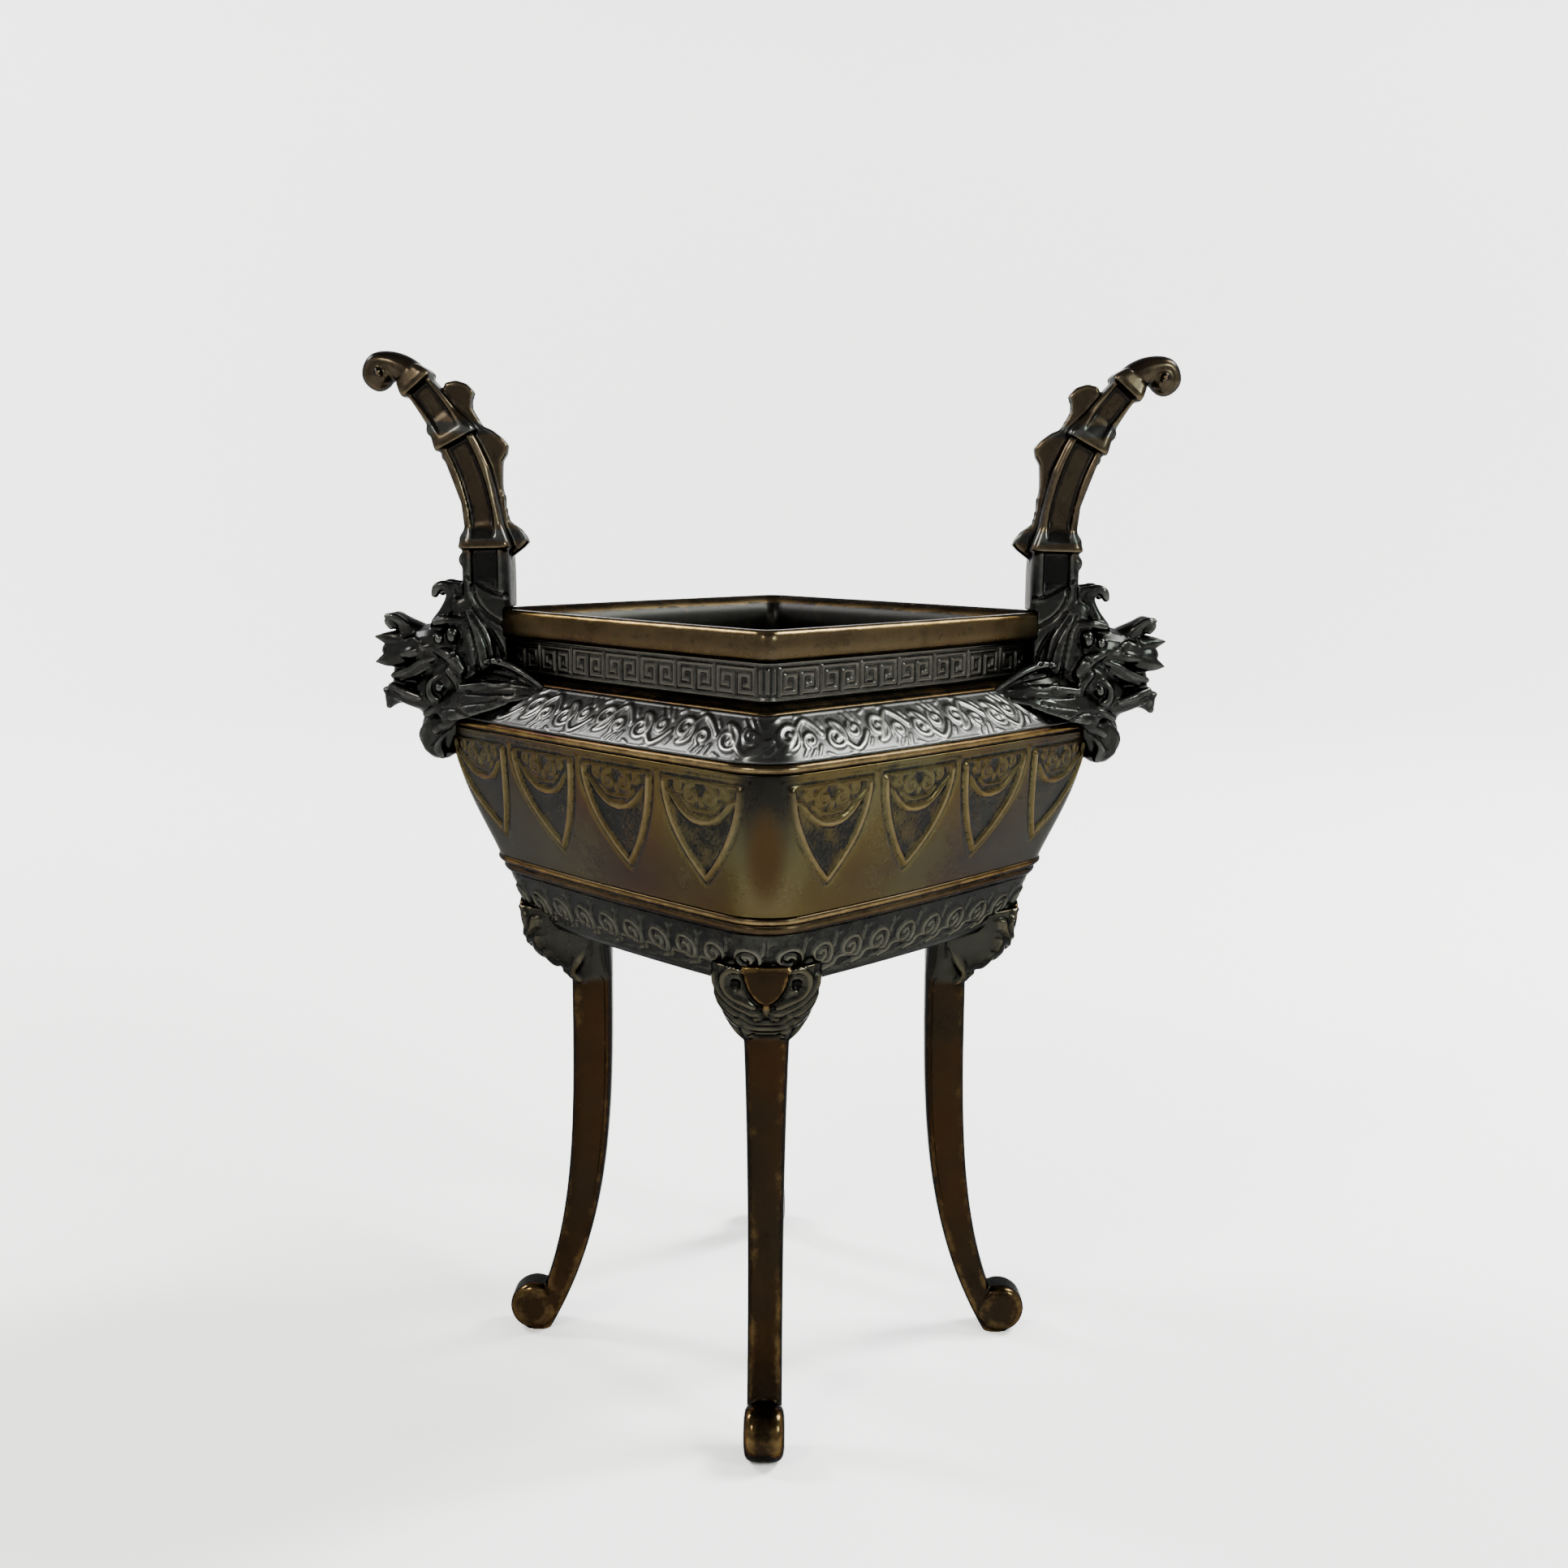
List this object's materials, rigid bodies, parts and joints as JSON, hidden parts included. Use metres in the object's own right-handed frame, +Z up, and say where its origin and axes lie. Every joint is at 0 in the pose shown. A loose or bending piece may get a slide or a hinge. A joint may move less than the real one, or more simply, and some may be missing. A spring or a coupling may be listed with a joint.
{
  "type": "incense burner",
  "caption": "Square bronze incense burner with an open bowl, beast-head handles that rise past the rim and legs with beast masks.",
  "frame": {"origin": "on the floor under the middle of the vessel", "axes": "+Z up; the vessel is square in plan with its corners on the X and Y axes; -Y is the front corner that faces the viewer and the two handles are on +X and -X"},
  "size_m": [0.2078, 0.1684, 0.2642],
  "materials": {
    "vessel_bronze": "satin, brown patina with rubbed edges",
    "handle_bronze": "satin, dark patina with rubbed edges",
    "leg_bronze": "satin, warm brown patina"
  },
  "bodies": {
    "root": {"vessel": "vessel_bronze", "handle_left": "handle_bronze", "handle_right": "handle_bronze", "leg_front": "leg_bronze", "leg_right": "leg_bronze", "leg_back": "leg_bronze", "leg_left": "leg_bronze"}
  },
  "joints": []
}
